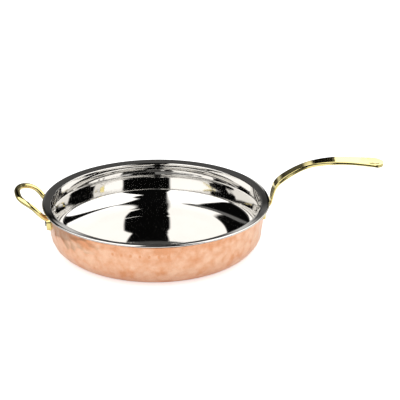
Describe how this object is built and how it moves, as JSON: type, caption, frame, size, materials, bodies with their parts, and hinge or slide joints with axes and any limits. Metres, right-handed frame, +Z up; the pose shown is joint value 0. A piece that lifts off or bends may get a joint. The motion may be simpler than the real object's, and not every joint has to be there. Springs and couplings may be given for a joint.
{
  "type": "saute pan",
  "caption": "Shallow round saute pan of steel in a hammered copper jacket, with a long cast brass handle and a brass loop handle across from it.",
  "frame": {"origin": "middle of the flat base, on the surface that the pan stands on", "axes": "+Z up, +X from the pan's middle towards the end of the long handle, the loop handle on -X"},
  "size_m": [0.4534, 0.28, 0.1093],
  "materials": {
    "mirror_steel": "mirror-polished stainless steel",
    "hammered_copper": "hammered and polished copper",
    "polished_brass": "polished cast brass",
    "rivet_steel": "bright steel"
  },
  "bodies": {
    "root": {"steel_pan": "mirror_steel", "copper_jacket": "hammered_copper", "long_handle": "polished_brass", "loop_handle": "polished_brass", "long_handle_rivet_front": "rivet_steel", "long_handle_rivet_back": "rivet_steel", "loop_rivet_front": "rivet_steel", "loop_rivet_back": "rivet_steel"}
  },
  "joints": []
}
